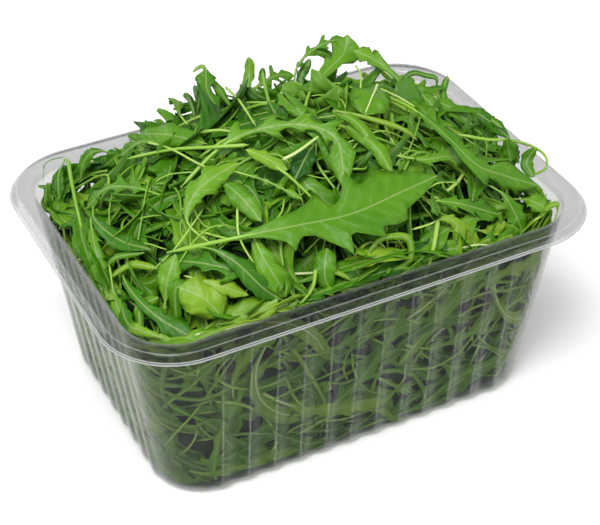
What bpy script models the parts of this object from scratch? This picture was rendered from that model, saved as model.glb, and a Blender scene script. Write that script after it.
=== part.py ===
"""Open clear plastic tub, heaped with wild rocket leaves.

Two solids: "tub" is a thin ribbed shell with a flat rim and a turned-down lip, and "rocket" is the
heap of leaves that fills it, one body of a lumpy core with the leaves that show fused on.
Metres, +Z up. The origin is the middle of the tub's flat base, which stands on z = 0. The long
side runs along X.
"""

import math
import random

import bmesh
import bpy
from mathutils import Vector, noise

# ---- Driving dimensions of the tub (outer surface) ----
RIM_LENGTH = 0.187          # over the lip, the common 187 x 137 mm tray size
RIM_WIDTH = 0.137
HEIGHT = 0.0805
RIM_RADIUS = 0.0278         # corner radius over the lip
LIP_OUT = 0.0028            # how far the lip slopes outwards ...
LIP_DROP = 0.0029           # ... and down
FLANGE = 0.0053             # width of the flat rim
BASE_LENGTH = 0.150
BASE_WIDTH = 0.1034
WALL_RADIUS = 0.0195        # corner radius of the wall, the same from base to rim
BASE_ROUNDING = 0.0045      # the rounded edge between base and wall
WALL = 0.0006

# ---- Ribs pressed into the four walls ----
RIB_DEPTH = 0.0016          # crest to valley
LONG_SIDE_PITCH = 0.01035
LONG_SIDE_RIBS = 6          # on each half of a long side
SHORT_SIDE_PITCH = 0.0098
SHORT_SIDE_RIBS = 4
CORNER_STEPS = 3            # facets on each half of a corner
RIB_TOP = 0.073             # from here up to the rim the ribs run out

# ---- The heap of leaves ----
EDGE_BELOW_RIM = 0.009      # the leaves meet the walls this far below the rim
CROWN_ABOVE_RIM = 0.030     # and the mound is this high in the middle
HEAP_HALF_LENGTH = 0.084
HEAP_HALF_WIDTH = 0.059
CORE_INSET = 0.0045         # from the tub's outer wall surface to the core
CORE_BELOW_LEAVES = 0.002
CORE_FLOOR = 0.0010
CORE_PINCH = 0.0035         # the core's foot draws in to clear the tub's rounded edge
CORE_AROUND, CORE_LEVELS, CORE_CROWN = 32, 2, 5   # its cells round it, up its side, over its top
LUMP_HEIGHT = 0.005
LUMPS_PER_METRE = 45
LEAF_THICKNESS = 0.0009
STALK_HALF_WIDTH = 0.0011
LEAF_KEEL = 0.18            # how steeply a leaf's halves rise from its midrib
WALL_CLEARANCE = 0.0023     # from a leaf's middle to the nominal outside of the wall
RIM_CLEARANCE = 0.0015      # a leaf this far above the rim may hang over it

WALL_HALF_TOP = (
    RIM_LENGTH / 2 - LIP_OUT - FLANGE,
    RIM_WIDTH / 2 - LIP_OUT - FLANGE,
)
WALL_HALF_BASE = (BASE_LENGTH / 2, BASE_WIDTH / 2)


def clear_scene():
    for old in list(bpy.data.objects):
        bpy.data.objects.remove(old, do_unlink=True)


def new_collection(name):
    made = bpy.data.collections.new(name)
    bpy.context.scene.collection.children.link(made)
    return made


def plain_material(name, colour, roughness, alpha=1.0):
    material = bpy.data.materials.new(name)
    material.use_nodes = True
    shader = material.node_tree.nodes["Principled BSDF"]
    shader.inputs["Base Color"].default_value = (*colour, 1.0)
    shader.inputs["Roughness"].default_value = roughness
    shader.inputs["Metallic"].default_value = 0.0
    shader.inputs["Alpha"].default_value = alpha
    return material


def object_from(bm, name, collection, material=None):
    mesh = bpy.data.meshes.new(name)
    bm.to_mesh(mesh)
    bm.free()
    obj = bpy.data.objects.new(name, mesh)
    collection.objects.link(obj)
    if material:
        mesh.materials.append(material)
    return obj


# ---------------------------------------------------------------- outlines

def quarter_length(half_x, half_y, radius):
    return (half_x - radius) + (half_y - radius) + radius * math.pi / 2


def quarter_point(half_x, half_y, radius, distance):
    """Point and outward normal on the +X +Y quarter of a rounded rectangle.

    distance runs along the outline from (half_x, 0) to (0, half_y).
    """
    straight = half_y - radius
    arc = radius * math.pi / 2
    if distance <= straight:
        return Vector((half_x, distance)), Vector((1.0, 0.0))
    if distance < straight + arc:
        turn = (distance - straight) / radius
        normal = Vector((math.cos(turn), math.sin(turn)))
        return Vector((half_x - radius, half_y - radius)) + normal * radius, normal
    back = distance - straight - arc
    return Vector((half_x - radius - back, half_y)), Vector((0.0, 1.0))


def outline_point(half_x, half_y, radius, quarters):
    """The same all the way round: quarters runs from 0 to 4, anticlockwise from +X."""
    quarters %= 4
    index = int(quarters)
    share = quarters - index
    if index % 2:
        share = 1 - share
    length = quarter_length(half_x, half_y, radius)
    point, normal = quarter_point(half_x, half_y, radius, share * length)
    flip = Vector(((-1, 1)[index in (0, 3)], (-1, 1)[index in (0, 1)]))
    return point * flip, normal * flip


def wall_half_sizes(z):
    """Half length and half width of the tapered wall's outer surface at height z."""
    share = min(max(z / HEIGHT, 0.0), 1.0)
    return tuple(
        low + (high - low) * share for low, high in zip(WALL_HALF_BASE, WALL_HALF_TOP)
    )


def inside_tub(point):
    """The point, or where it comes to lie when the wall pushes it back in."""
    if point.z > HEIGHT + RIM_CLEARANCE:
        return point
    half = Vector(wall_half_sizes(point.z))
    flat = Vector((point.x, point.y))
    over = Vector(abs(v) - (limit - WALL_RADIUS) for v, limit in zip(flat, half))
    corner = Vector(max(v, 0.0) for v in over)
    distance = corner.length + min(max(over), 0.0) - WALL_RADIUS
    excess = distance + WALL_CLEARANCE
    if excess <= 0:
        return point
    if corner.length == 0:
        corner = Vector((1.0, 0.0)) if over.x > over.y else Vector((0.0, 1.0))
    push = corner.normalized() * excess
    flat -= Vector(math.copysign(step, v) for step, v in zip(push, flat))
    return Vector((flat.x, flat.y, point.z))


# --------------------------------------------------------------------- tub

def quarter_stations(half_x, half_y, radius):
    """Distances along the quarter outline, with each one's rib wave from -1 to 1.

    Ribs keep their places from base to rim, so only the corner stretches.
    """
    length = quarter_length(half_x, half_y, radius)
    corner = (half_y - radius) + radius * math.pi / 4

    def ribbed(pitch, ribs):
        places = [k * pitch / 2 for k in range(2 * ribs + 1)]
        waves = [1.0 if k % 2 else -1.0 for k in range(2 * ribs)] + [0.0]
        return places, waves

    short_places, short_waves = ribbed(SHORT_SIDE_PITCH, SHORT_SIDE_RIBS)
    long_places, long_waves = ribbed(LONG_SIDE_PITCH, LONG_SIDE_RIBS)
    stations = list(zip(short_places, short_waves))
    start = short_places[-1]
    for k in range(1, CORNER_STEPS + 1):
        stations.append((start + (corner - start) * k / CORNER_STEPS, 0.0))
    end = length - long_places[-1]
    for k in range(1, CORNER_STEPS):
        stations.append((corner + (end - corner) * k / CORNER_STEPS, 0.0))
    stations += [
        (length - place, wave) for place, wave in zip(long_places[::-1], long_waves[::-1])
    ]
    return stations


def tub_rings():
    """(half length, half width, corner radius, z, rib strength) from the base to the lip.

    They follow the outside of the wall, then the underside of the rim and the lip.
    """
    base_x, base_y = WALL_HALF_BASE
    top_x, top_y = WALL_HALF_TOP
    under_rim = HEIGHT - WALL
    fold = WALL * math.sqrt(0.5)
    inset = BASE_ROUNDING
    corner = inset * (1 - math.sqrt(0.5))
    rings = [
        (base_x - inset, base_y - inset, WALL_RADIUS - inset, 0.0, 0.0),
        (base_x - corner, base_y - corner, WALL_RADIUS - corner, corner, 0.6),
    ]
    for z, ribs in ((inset, 1.0), (RIB_TOP, 1.0), (under_rim, 0.0)):
        half_x, half_y = wall_half_sizes(z)
        rings.append((half_x, half_y, WALL_RADIUS, z, ribs))
    rings.append((top_x + FLANGE, top_y + FLANGE, RIM_RADIUS - LIP_OUT, under_rim, 0.0))
    rings.append((
        RIM_LENGTH / 2 - fold,
        RIM_WIDTH / 2 - fold,
        RIM_RADIUS,
        HEIGHT - LIP_DROP - fold,
        0.0,
    ))
    return rings


def make_tub(collection, material):
    """A quarter of the shell as a mapped grid, mirrored twice and given its wall."""
    rings = tub_rings()
    columns = len(quarter_stations(*WALL_HALF_BASE, WALL_RADIUS))
    bm = bmesh.new()
    made = bmesh.ops.create_grid(
        bm, x_segments=columns - 1, y_segments=len(rings), size=1.0
    )
    for vert in made["verts"]:
        column = round((vert.co.x + 1) / 2 * (columns - 1))
        row = round((vert.co.y + 1) / 2 * len(rings))
        if row == 0:
            vert.co = (0.0, 0.0, 0.0)
            continue
        half_x, half_y, radius, z, ribs = rings[row - 1]
        distance, wave = quarter_stations(half_x, half_y, radius)[column]
        point, normal = quarter_point(half_x, half_y, radius, distance)
        point += normal * (wave * ribs * RIB_DEPTH / 2)
        if column == 0:
            point.y = 0.0
        if column == columns - 1:
            point.x = 0.0
        vert.co = (point.x, point.y, z)
    bmesh.ops.remove_doubles(bm, verts=bm.verts[:], dist=1e-6)
    bmesh.ops.recalc_face_normals(bm, faces=bm.faces[:])
    if min(bm.faces, key=lambda face: face.calc_center_median().z).normal.z > 0:
        bmesh.ops.reverse_faces(bm, faces=bm.faces[:])
    tub = object_from(bm, "tub", collection, material)
    mirror = tub.modifiers.new("quarters", "MIRROR")
    mirror.use_axis = (True, True, False)
    mirror.merge_threshold = 0.00005
    wall = tub.modifiers.new("wall", "SOLIDIFY")
    wall.thickness = WALL
    wall.offset = -1.0
    wall.use_even_offset = True
    wall.use_quality_normals = True
    return tub


# ------------------------------------------------------------ heap surface

def heap_top(x, y):
    """Height of the leaves over (x, y): level at the walls and mounded in the middle."""
    reach = (abs(x) / HEAP_HALF_LENGTH) ** 2.4 + (abs(y) / HEAP_HALF_WIDTH) ** 2.4
    reach = min(reach ** (1 / 2.4), 1.0)
    rise = EDGE_BELOW_RIM + CROWN_ABOVE_RIM
    return HEIGHT - EDGE_BELOW_RIM + rise * (1 - reach * reach) ** 0.75


def make_core(collection, material):
    """The packed middle of the heap: a closed grid wrapped to the tub, with a lumpy top."""
    rows = CORE_LEVELS + CORE_CROWN + 1
    bm = bmesh.new()
    made = bmesh.ops.create_grid(bm, x_segments=CORE_AROUND, y_segments=rows, size=1.0)
    top_z = HEIGHT - EDGE_BELOW_RIM - CORE_BELOW_LEAVES
    for vert in made["verts"]:
        turn = 4 * (vert.co.x + 1) / 2
        row = round((vert.co.y + 1) / 2 * rows)
        if row == 0:
            vert.co = (0.0, 0.0, CORE_FLOOR)
            continue
        level = min((row - 1) / CORE_LEVELS, 1.0)
        z = CORE_FLOOR + (top_z - CORE_FLOOR) * level
        inset = CORE_INSET + (CORE_PINCH if row == 1 else 0.0)
        half_sizes = (half - inset for half in wall_half_sizes(z))
        point, _ = outline_point(*half_sizes, WALL_RADIUS - CORE_INSET, turn)
        over_top = (row - CORE_LEVELS - 1) / CORE_CROWN
        if over_top > 0:
            point *= (1 - over_top) ** 0.8
            lump = noise.noise(Vector((point.x, point.y, 0.0)) * LUMPS_PER_METRE)
            z = heap_top(point.x, point.y) - CORE_BELOW_LEAVES + lump * LUMP_HEIGHT
        vert.co = (point.x, point.y, z)
    bmesh.ops.remove_doubles(bm, verts=bm.verts[:], dist=1e-5)
    bmesh.ops.triangulate(bm, faces=bm.faces[:])
    bmesh.ops.recalc_face_normals(bm, faces=bm.faces[:])
    return object_from(bm, "rocket", collection, material)


# ------------------------------------------------------------------ leaves

# Kinds of leaf: the blade's half width and the bare stalk as shares of the length, the lobes on
# each side below the end lobe, and how much of the blade the bays between them take away.
KINDS = {
    "toothed": {"half": 0.150, "stalk": 0.30, "lobes": 3, "bay": 0.50},
    "lobed": {"half": 0.140, "stalk": 0.25, "lobes": 1, "bay": 0.65},
    "plain": {"half": 0.115, "stalk": 0.30, "lobes": 0, "bay": 0.0},
    "spoon": {"half": 0.260, "stalk": 0.45, "lobes": 0, "bay": 0.0},
    "strip": {"half": 0.035, "stalk": 0.0, "lobes": 0, "bay": 0.0},
}


def leaf_stations(kind, length):
    """(share of the length, half width) of every cross-section, from the stalk's end to the tip."""
    shape = KINDS[kind]
    stalk, bays = shape["stalk"], shape["lobes"]
    stations = [(0.0, STALK_HALF_WIDTH)]
    if stalk:
        stations.append((stalk, STALK_HALF_WIDTH))
    steps = 2 * bays + 3 if bays else 4
    for k in range(1, steps + 1):
        along = k / (steps + 0.8)
        swell = shape["half"] * length * math.sin(math.pi * (0.12 + 0.88 * along)) ** 0.8
        in_bay = bays and k % 2 == 0 and k < steps - 1
        out = swell * (1 - shape["bay"]) if in_bay else swell
        stations.append((stalk + (1 - stalk) * along, out))
    stations.append((1.0, STALK_HALF_WIDTH * 0.3))
    return stations


def through(points, share):
    """A smooth curve through three points: the stalk's end, the middle and the tip."""
    start, middle, end = points
    pull = middle * 2 - (start + end) / 2
    return start * (1 - share) ** 2 + pull * 2 * share * (1 - share) + end * share**2


def leaf_object(name, kind, centre_line, face_of, collection, keeled=False, wave=0.0015):
    """A thin wavy leaf: a grid laid along centre_line, then given its thickness.

    centre_line(share) gives a point, and face_of(share) the way the leaf's upper face looks.
    A keeled leaf is folded along its midrib.
    """
    length = sum(
        (centre_line((k + 1) / 8) - centre_line(k / 8)).length for k in range(8)
    )
    stations = leaf_stations(kind, length)
    last = len(stations) - 1
    bm = bmesh.new()
    across_cells = 2 if keeled else 1
    made = bmesh.ops.create_grid(bm, x_segments=last, y_segments=across_cells, size=1.0)
    for vert in made["verts"]:
        share, half_width = stations[round((vert.co.x + 1) / 2 * last)]
        side = round(vert.co.y)
        here = centre_line(share)
        ahead = centre_line(min(share + 0.02, 1.0)) - centre_line(max(share - 0.02, 0.0))
        ahead.normalize()
        across = face_of(share).cross(ahead).normalized()
        face = ahead.cross(across)
        ripple = wave * math.sin(9 * share + 2 * side) * abs(side)
        rise = ripple * half_width / (0.1 * length) + half_width * LEAF_KEEL * abs(side)
        vert.co = inside_tub(here + across * half_width * side + face * rise)
    bmesh.ops.triangulate(bm, faces=bm.faces[:])
    leaf = object_from(bm, name, collection)
    thick = leaf.modifiers.new("thickness", "SOLIDIFY")
    thick.thickness = LEAF_THICKNESS
    thick.offset = 0.0
    return leaf


def on_heap(x, y, lift):
    return Vector((x, y, heap_top(x, y) + lift))


def rolled(roll, heading):
    """Up, leaned sideways by roll degrees about a level heading."""
    side = Vector((-heading.y, heading.x, 0.0)).normalized()
    lean = math.radians(roll)
    return Vector((0, 0, 1)) * math.cos(lean) + side * math.sin(lean)


def top_leaf(name, kind, points, roll, collection, keeled=False):
    """A leaf on the mound through three (x, y, lift) points in millimetres."""
    line = [on_heap(x / 1000, y / 1000, lift / 1000) for x, y, lift in points]
    face = rolled(roll, line[2] - line[0])
    leaf_object(
        name,
        kind,
        lambda share: through(line, share),
        lambda share: face,
        collection,
        keeled,
    )


# The leaves that stand out: each one's kind, its stalk's end, middle and tip as (x, y, lift above
# the mound) in millimetres, and its roll in degrees. Most stalks start inside the mound.
LEADING_LEAVES = {
    "big_toothed": ("toothed", ((-63, -29, 1), (-10, -43, 9), (39, -38, 2)), -8),
    "right_long": ("toothed", ((34, 4, -4), (56, -19, 8), (82, -36, 4)), -12),
    "back_peak": ("toothed", ((8, 2, -4), (24, 26, 6), (40, 42, 28)), 20),
    "left_peak": ("toothed", ((-30, -6, -4), (-25, 22, 5), (-16, 42, 22)), -25),
    "arched_middle": ("lobed", ((-42, -2, -3), (-12, -8, 5), (4, -34, 0)), 10),
    "left_pale": ("plain", ((-58, -30, -4), (-46, -20, 5), (-24, -11, 2)), -20),
    "hanging_lobe": ("lobed", ((-44, 8, -3), (-38, -14, 5), (-30, -38, 0)), 20),
    "yellow_stem": ("strip", ((12, -6, 2), (26, -18, 4), (40, -30, -4)), 0),
    "left_stem": ("plain", ((-34, -2, -3), (-56, 20, 6), (-72, 40, 4)), 15),
    "spoon_leaf": ("spoon", ((-40, -54, 2), (-52, -47, 5), (-66, -36, -2)), -10),
    "front_stem": ("strip", ((-17, -54, 3), (-7, -51, 4), (3, -46, -4)), 0),
    "front_curl": ("lobed", ((12, -55, 0), (12, -50, 10), (16, -40, -4)), 0),
    "corner_curl": ("plain", ((52, -24, -3), (66, -34, 6), (70, -48, -2)), 25),
    "right_arch": ("lobed", ((54, -2, -4), (72, -8, 10), (87, -22, 13)), -25),
    "left_toothed": ("toothed", ((-70, -26, -2), (-76, 2, 7), (-66, 30, 0)), 15),
    "back_left_arch": ("plain", ((-50, 22, -4), (-64, 44, 8), (-76, 50, 10)), 20),
    "back_right": ("lobed", ((44, 22, -4), (60, 42, 9), (72, 54, 14)), 20),
    "low_left": ("toothed", ((-74, -12, 2), (-72, -34, 5), (-62, -50, -2)), 20),
    "back_middle": ("lobed", ((-6, 12, -4), (4, 40, 6), (10, 58, 20)), -15),
    "back_lean": ("plain", ((20, 18, -4), (8, 40, 7), (-6, 56, 18)), 30),
    "right_back": ("plain", ((40, 2, -3), (62, 14, 7), (80, 24, 12)), -15),
    "front_right": ("lobed", ((70, -38, 1), (42, -50, 5), (20, -52, -2)), 10),
    "front_left": ("toothed", ((-22, -22, -2), (-46, -34, 4), (-70, -44, -1)), 10),
    "front_low": ("lobed", ((-26, -54, -1), (-44, -44, 4), (-62, -24, 0)), -10),
}
SCATTERED_LEAVES = 20
SCATTER_HALF_SIZES = (62, 43)       # millimetres: where their middles lie ...
TIP_HALF_SIZES = (75, 51)           # ... and how far out their ends may reach
GOLDEN_ANGLE = math.pi * (3 - math.sqrt(5))
EDGE_LEAVES = 14
WALL_LEAVES = 12
WALL_LEAF_HEIGHTS = (0.018, 0.036, 0.054)
WALL_LEAF_LOWEST = 0.007
WALL_LEAF_HIGHEST = 0.0685
SEED = 7


def scattered_leaves(collection):
    """Smaller leaves spread over the mound between the leading ones, on a sunflower spiral."""
    draw = random.Random(SEED)
    for k in range(SCATTERED_LEAVES):
        reach = math.sqrt((k + 0.5) / SCATTERED_LEAVES)
        spot = Vector((math.cos(k * GOLDEN_ANGLE), math.sin(k * GOLDEN_ANGLE))) * reach
        spot *= Vector(SCATTER_HALF_SIZES)
        heading = draw.uniform(0, 2 * math.pi)
        ahead = Vector((math.cos(heading), math.sin(heading))) * draw.uniform(21, 30)
        kind = draw.choice(("lobed", "lobed", "plain"))
        ends = []
        for end, lift in ((spot - ahead, -2.5), (spot + ahead, draw.uniform(-2.0, 1.0))):
            kept = [min(max(v, -most), most) for v, most in zip(end, TIP_HALF_SIZES)]
            ends.append((*kept, lift))
        points = (ends[0], (*spot, draw.uniform(2.0, 4.0)), ends[1])
        top_leaf(f"scattered_{k}", kind, points, draw.uniform(-25, 25), collection)


def edge_leaves(collection):
    """Leaves round the foot of the mound, that lean against the wall just below the rim."""
    draw = random.Random(SEED + 2)
    for k in range(EDGE_LEAVES):
        turn = 4 * (k + draw.uniform(0.3, 0.7)) / EDGE_LEAVES
        swing = draw.choice((-1, 1)) * draw.uniform(0.14, 0.22)
        points = []
        for step, inset, lift in ((-1, 10, -2), (0, 5.5, 2.5), (1, draw.uniform(5, 9), 4)):
            half_sizes = (half - inset / 1000 for half in WALL_HALF_TOP)
            spot, _ = outline_point(*half_sizes, WALL_RADIUS, turn + swing * step)
            points.append((spot.x * 1000, spot.y * 1000, lift))
        kind = draw.choice(("lobed", "plain"))
        top_leaf(f"edge_{k}", kind, points, draw.uniform(-10, 10), collection)


def wall_leaves(collection):
    """Leaves pressed flat against the clear walls, all the way round."""
    draw = random.Random(SEED + 1)
    for k in range(WALL_LEAVES):
        turn = 4 * (k + draw.uniform(0.2, 0.8)) / WALL_LEAVES
        z = WALL_LEAF_HEIGHTS[k % 3] + draw.uniform(-0.004, 0.004)
        slope = math.radians(draw.uniform(-50, 50))
        half = draw.uniform(0.020, 0.027)
        half_x, half_y = wall_half_sizes(z)
        quarter = quarter_length(half_x, half_y, WALL_RADIUS)
        swing = half * math.cos(slope) / quarter
        rise = half * math.sin(slope)

        def line(share, turn=turn, z=z, swing=swing, rise=rise):
            height = z + rise * (2 * share - 1)
            height = min(max(height, WALL_LEAF_LOWEST), WALL_LEAF_HIGHEST)
            depth = 0.0031 + 0.0024 * (2 * share - 1) ** 2
            half_sizes = (half - depth for half in wall_half_sizes(height))
            point, _ = outline_point(
                *half_sizes, WALL_RADIUS - depth, turn + swing * (2 * share - 1)
            )
            return Vector((point.x, point.y, height))

        def face(share, turn=turn, z=z, swing=swing):
            half_sizes = wall_half_sizes(z)
            _, normal = outline_point(
                *half_sizes, WALL_RADIUS, turn + swing * (2 * share - 1)
            )
            return -Vector((normal.x, normal.y, 0.0))

        kind = draw.choice(("lobed", "plain"))
        leaf_object(f"wall_leaf_{k}", kind, line, face, collection, wave=0.0)


# --------------------------------------------------------- fusing the heap

def keep_largest_island(obj):
    """Drops loose scraps and sealed hollows, so that one closed body is left, as triangles."""
    bm = bmesh.new()
    bm.from_mesh(obj.data)
    islands, seen = [], set()
    for start in bm.faces:
        if start in seen:
            continue
        island, front = [], [start]
        seen.add(start)
        while front:
            face = front.pop()
            island.append(face)
            for edge in face.edges:
                for other in edge.link_faces:
                    if other not in seen:
                        seen.add(other)
                        front.append(other)
        islands.append(island)
    islands.sort(key=len)
    spare = [face for island in islands[:-1] for face in island]
    bmesh.ops.delete(bm, geom=spare, context="FACES")
    # The union leaves points in the middle of straight edges, and these would fold triangles flat.
    idle = [vert for vert in bm.verts if len(vert.link_edges) == 2]
    bmesh.ops.dissolve_verts(bm, verts=idle)
    bmesh.ops.triangulate(bm, faces=bm.faces[:], quad_method="FIXED", ngon_method="EAR_CLIP")
    bm.to_mesh(obj.data)
    bm.free()


def fuse(core, leaves):
    union = core.modifiers.new("leaves", "BOOLEAN")
    union.operation = "UNION"
    union.solver = "EXACT"
    union.operand_type = "COLLECTION"
    union.collection = leaves
    graph = bpy.context.evaluated_depsgraph_get()
    fused = bpy.data.meshes.new_from_object(core.evaluated_get(graph))
    core.modifiers.clear()
    core.data = fused
    for leaf in list(leaves.objects):
        bpy.data.objects.remove(leaf, do_unlink=True)
    bpy.data.collections.remove(leaves)
    keep_largest_island(core)


def main():
    clear_scene()
    parts = new_collection("tub_of_rocket")
    leaves = new_collection("loose_leaves")
    clear_plastic = plain_material("clear_plastic", (0.80, 0.82, 0.81), 0.10, alpha=0.35)
    leaf_green = plain_material("leaf_green", (0.12, 0.29, 0.03), 0.45)
    make_tub(parts, clear_plastic)
    core = make_core(parts, leaf_green)
    for name, (kind, points, roll) in LEADING_LEAVES.items():
        top_leaf(name, kind, points, roll, leaves, keeled=True)
    scattered_leaves(leaves)
    edge_leaves(leaves)
    wall_leaves(leaves)
    fuse(core, leaves)


main()
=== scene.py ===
import math
import random

import bmesh
import bpy
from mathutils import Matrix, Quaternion, Vector, noise


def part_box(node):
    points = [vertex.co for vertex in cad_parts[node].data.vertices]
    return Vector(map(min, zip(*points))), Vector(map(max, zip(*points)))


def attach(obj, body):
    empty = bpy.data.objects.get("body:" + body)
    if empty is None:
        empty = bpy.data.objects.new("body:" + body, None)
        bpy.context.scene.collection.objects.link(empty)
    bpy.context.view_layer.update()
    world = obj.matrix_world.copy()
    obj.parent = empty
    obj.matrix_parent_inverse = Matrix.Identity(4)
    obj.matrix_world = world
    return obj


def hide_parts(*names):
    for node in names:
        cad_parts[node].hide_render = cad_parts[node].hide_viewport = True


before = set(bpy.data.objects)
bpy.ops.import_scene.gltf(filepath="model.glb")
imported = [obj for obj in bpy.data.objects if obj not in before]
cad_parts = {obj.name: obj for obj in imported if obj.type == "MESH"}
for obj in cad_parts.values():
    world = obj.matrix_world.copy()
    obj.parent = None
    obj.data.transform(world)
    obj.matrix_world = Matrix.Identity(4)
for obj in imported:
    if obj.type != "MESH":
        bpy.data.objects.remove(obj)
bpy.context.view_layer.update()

tubLow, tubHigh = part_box("tub")
rimHeight = tubHigh.z
mm = 0.001
print("frame loaded, rim at", round(rimHeight / mm, 1), "mm")


# small helpers that every piece uses
def newObject(name, bm, materials, node):
    mesh = bpy.data.meshes.new(name)
    bm.to_mesh(mesh)
    bm.free()
    for material in materials:
        mesh.materials.append(material)
    piece = bpy.data.objects.new(name, mesh)
    bpy.context.scene.collection.objects.link(piece)
    for polygon in mesh.polygons:
        polygon.use_smooth = True
    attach(piece, "root")
    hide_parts(node)
    print(name, "made,", len(mesh.polygons), "faces")
    return piece


def addSolidify(piece, thickness, underMaterial=0, rimMaterial=0):
    wall = piece.modifiers.new("thickness", "SOLIDIFY")
    wall.thickness = thickness
    wall.offset = -1.0
    wall.use_even_offset = underMaterial == 0
    wall.use_quality_normals = underMaterial == 0
    wall.material_offset = underMaterial
    wall.material_offset_rim = rimMaterial


def clamp(value, low, high):
    return min(max(value, low), high)


def heading(angle):
    return Vector((math.cos(angle), math.sin(angle)))


# outline of a rounded rectangle, which the tub's walls and rim follow
def quarterLength(halfX, halfY, radius):
    return (halfX - radius) + (halfY - radius) + radius * math.pi / 2


def quarterPoint(halfX, halfY, radius, distance):
    # from (halfX, 0) round the corner to (0, halfY), with the outward normal
    straight = halfY - radius
    arc = radius * math.pi / 2
    if distance <= straight:
        return Vector((halfX, distance)), Vector((1.0, 0.0))
    if distance < straight + arc:
        turn = (distance - straight) / radius
        normal = heading(turn)
        return Vector((halfX - radius, halfY - radius)) + normal * radius, normal
    back = distance - straight - arc
    return Vector((halfX - radius - back, halfY)), Vector((0.0, 1.0))


def outlinePoint(halfX, halfY, radius, quarters):
    # quarters runs from 0 to 4, anticlockwise from +X
    quarters %= 4
    index = int(quarters)
    share = quarters - index
    if index % 2:
        share = 1 - share
    length = quarterLength(halfX, halfY, radius)
    point, normal = quarterPoint(halfX, halfY, radius, share * length)
    flip = Vector(((-1, 1)[index in (0, 3)], (-1, 1)[index in (0, 1)]))
    return point * flip, normal * flip


# materials
def newMaterial(name):
    material = bpy.data.materials.new(name)
    material.use_nodes = True
    tree = material.node_tree
    tree.nodes.clear()
    return material, tree


def addNode(tree, kind, inputs=None, **settings):
    node = tree.nodes.new("ShaderNode" + kind)
    for key, value in settings.items():
        setattr(node, key, value)
    for key, value in (inputs or {}).items():
        if isinstance(value, bpy.types.NodeSocket):
            tree.links.new(value, node.inputs[key])
        else:
            node.inputs[key].default_value = value
    return node


def addMath(tree, operation, first, second=0.0, third=0.0):
    node = addNode(tree, "Math", {0: first, 1: second, 2: third}, operation=operation)
    return node.outputs[0]


def mixColours(tree, factor, first, second):
    return addNode(tree, "Mix", {0: factor, 6: first, 7: second}, data_type="RGBA").outputs[2]


def mixShaders(tree, factor, first, second):
    return addNode(tree, "MixShader", {0: factor, 1: first.outputs[0], 2: second.outputs[0]})


def addBody(tree, colour, roughness, specular=0.5, bump=None):
    inputs = {"Base Color": colour, "Roughness": roughness, "Specular IOR Level": specular}
    if bump:
        inputs["Normal"] = bump.outputs[0]
    return addNode(tree, "BsdfPrincipled", inputs)


def addNoise(tree, place, scale, detail):
    return addNode(tree, "TexNoise", {"Vector": place, "Scale": scale, "Detail": detail}).outputs[0]


def objectPlace(tree):
    return addNode(tree, "TexCoord").outputs["Object"]


def readAttribute(tree, name):
    return addNode(tree, "Attribute", attribute_name=name).outputs["Fac"]


def addRamp(tree, factor, stops):
    node = addNode(tree, "ValToRGB", {0: factor})
    ramp = node.color_ramp
    while len(ramp.elements) < len(stops):
        ramp.elements.new(0.5)
    for element, (place, colour) in zip(ramp.elements, stops):
        element.position = place
        element.color = (*colour, 1.0)
    return node.outputs[0]


def finishMaterial(tree, shader):
    addNode(tree, "OutputMaterial", {"Surface": shader})


leafLook = {
    "deep": (0.004, 0.066, 0.001),
    "mid": (0.056, 0.220, 0.003),
    "bright": (0.140, 0.345, 0.013),
    "yellow": (0.270, 0.450, 0.022),
    "rib": (0.350, 0.480, 0.150),
    "under": (0.180, 0.340, 0.070),
    "roughness": 0.40,
    "veinSpacing": 6.5,         # millimetres along the leaf
    "translucency": 0.26,
    "glowTint": (0.26, 0.60, 0.02, 1.0),
    "patchContrast": 0.60,
    "pucker": 0.30,
    "mapLength": 100.0,         # millimetres along the leaf and across it that make 1 in its UV map
    "mapWidth": 24.0,
}


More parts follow.
